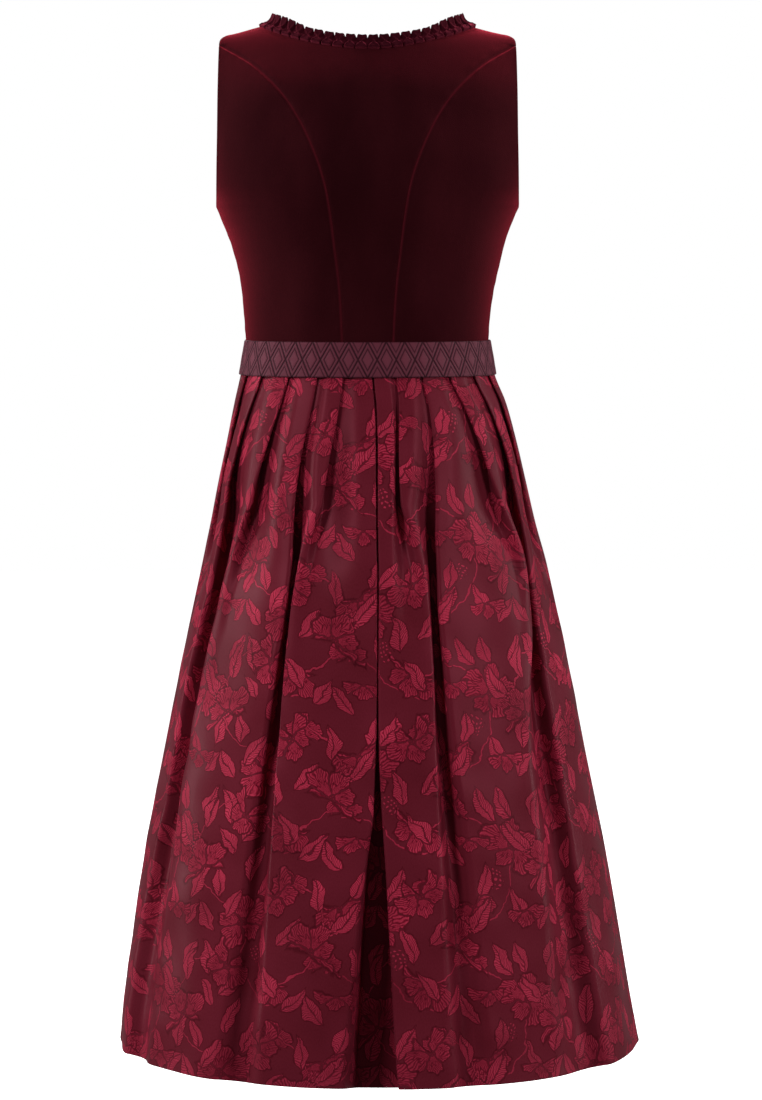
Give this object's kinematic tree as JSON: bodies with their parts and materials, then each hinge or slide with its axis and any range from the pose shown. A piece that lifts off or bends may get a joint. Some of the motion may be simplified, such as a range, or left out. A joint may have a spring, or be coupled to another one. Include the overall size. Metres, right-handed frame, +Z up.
{
  "type": "dirndl dress",
  "caption": "Sleeveless velvet bodice with a ruched neck edge, woven waistband and knife-pleated jacquard skirt, worn form, open at neck, armholes and hem.",
  "frame": {"origin": "midway between the two shoulders, at the height where the dress hangs on its wearer", "axes": "+Z up, +Y out of the wearer's back, +X to the wearer's left"},
  "size_m": [0.582, 0.5003, 1.1439],
  "materials": {
    "velvet": "cut-pile velvet, very dark burgundy with a red sheen at the turning sides",
    "ruche_velvet": "gathered velvet ribbon",
    "band": "woven band with a raised diamond pattern",
    "jacquard": "burgundy satin with a tonal woven flower pattern"
  },
  "bodies": {
    "root": {"back_center": "velvet", "back_side_left": "velvet", "back_side_right": "velvet", "front_left": "velvet", "front_right": "velvet", "neck_ruche": "ruche_velvet", "waistband": "band", "skirt_back": "jacquard", "skirt_front": "jacquard"}
  },
  "joints": []
}
